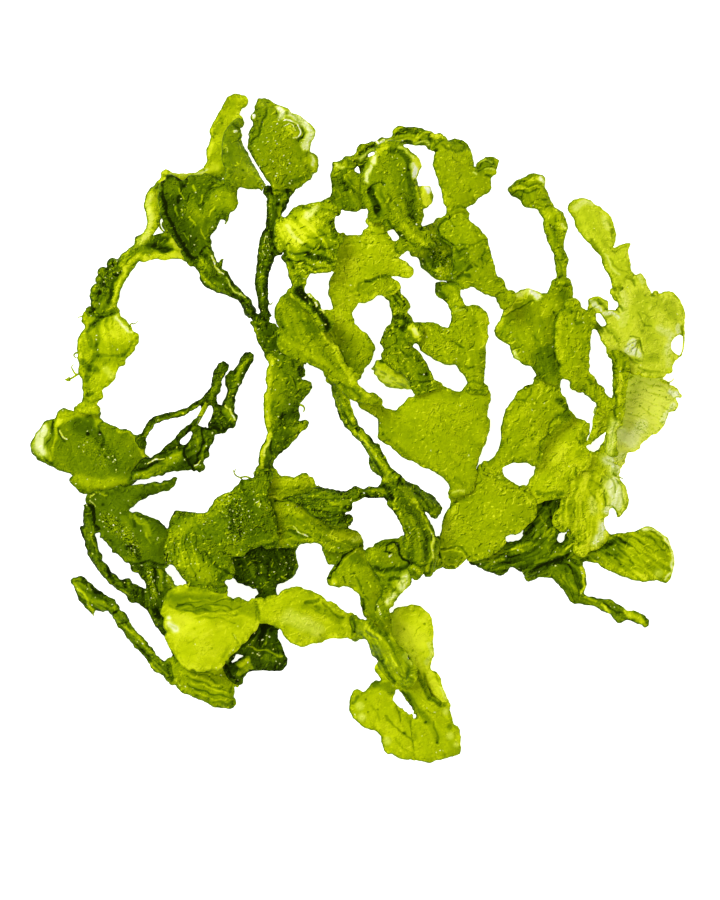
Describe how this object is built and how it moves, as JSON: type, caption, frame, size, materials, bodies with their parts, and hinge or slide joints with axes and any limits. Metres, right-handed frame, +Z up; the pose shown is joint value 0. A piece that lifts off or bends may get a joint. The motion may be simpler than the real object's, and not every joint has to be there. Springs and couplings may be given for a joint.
{
  "type": "halimeda seaweed",
  "caption": "Spray of flat calcified green seaweed segments, fans, discs and bars joined end to end by narrow nodes, lying on its side.",
  "frame": {"origin": "centre of the footprint, on the surface the spray lies on", "axes": "+Z up out of that surface, +Y towards the tip of the spray, away from its two lowest segments, +X to the right seen from above"},
  "size_m": [0.1094, 0.1118, 0.0115],
  "materials": {
    "bright_tissue": "wet satin algal tissue",
    "dark_tissue": "wet satin algal tissue",
    "green_tissue": "wet satin algal tissue",
    "mid_tissue": "wet satin algal tissue",
    "pale_tissue": "wet satin algal tissue"
  },
  "bodies": {
    "root": {"arch_top": "green_tissue", "arm_left": "mid_tissue", "bar_heart": "dark_tissue", "big_fan": "bright_tissue", "boot": "green_tissue", "bright_fan": "bright_tissue", "bright_leaf": "bright_tissue", "cap": "mid_tissue", "centre_stalk": "mid_tissue", "centre_trunk": "dark_tissue", "chain_small": "green_tissue", "club": "bright_tissue", "cluster_dark": "dark_tissue", "crown": "mid_tissue", "cup_leaf": "mid_tissue", "dark_leaf": "dark_tissue", "dark_pod": "dark_tissue", "dark_wedge": "dark_tissue", "diagonal_leaf": "mid_tissue", "disc_mid": "mid_tissue", "fan_right_low": "bright_tissue", "fan_right_mid": "bright_tissue", "fan_top": "green_tissue", "fin": "mid_tissue", "finger_top": "green_tissue", "foot_left": "green_tissue", "foot_right": "bright_tissue", "frayed_fan": "pale_tissue", "green_fan": "green_tissue", "heart_dark": "dark_tissue", "heart_right": "green_tissue", "hood": "green_tissue", "hub_left": "mid_tissue", "kite": "bright_tissue", "leaf_far_left": "green_tissue", "leaf_left": "green_tissue", "leaf_ragged": "mid_tissue", "low_trunk": "mid_tissue", "lower_bar": "mid_tissue", "lower_fan": "green_tissue", "lower_leaf": "green_tissue", "mitten": "green_tissue", "narrow_fan": "bright_tissue", "paddle": "bright_tissue", "pale_fan": "pale_tissue", "pale_leaf": "pale_tissue", "ribbed_chain": "dark_tissue", "round_leaf": "bright_tissue", "shield": "green_tissue", "small_leaf_top": "green_tissue", "spoon": "bright_tissue", "stalk_dark": "dark_tissue", "stalk_thin": "dark_tissue", "stem_right": "mid_tissue", "stem_top": "green_tissue", "strand_dark": "dark_tissue", "strap_leaf": "green_tissue", "twigs": "dark_tissue", "wedge_top": "green_tissue", "yellow_leaf": "bright_tissue"}
  },
  "joints": []
}
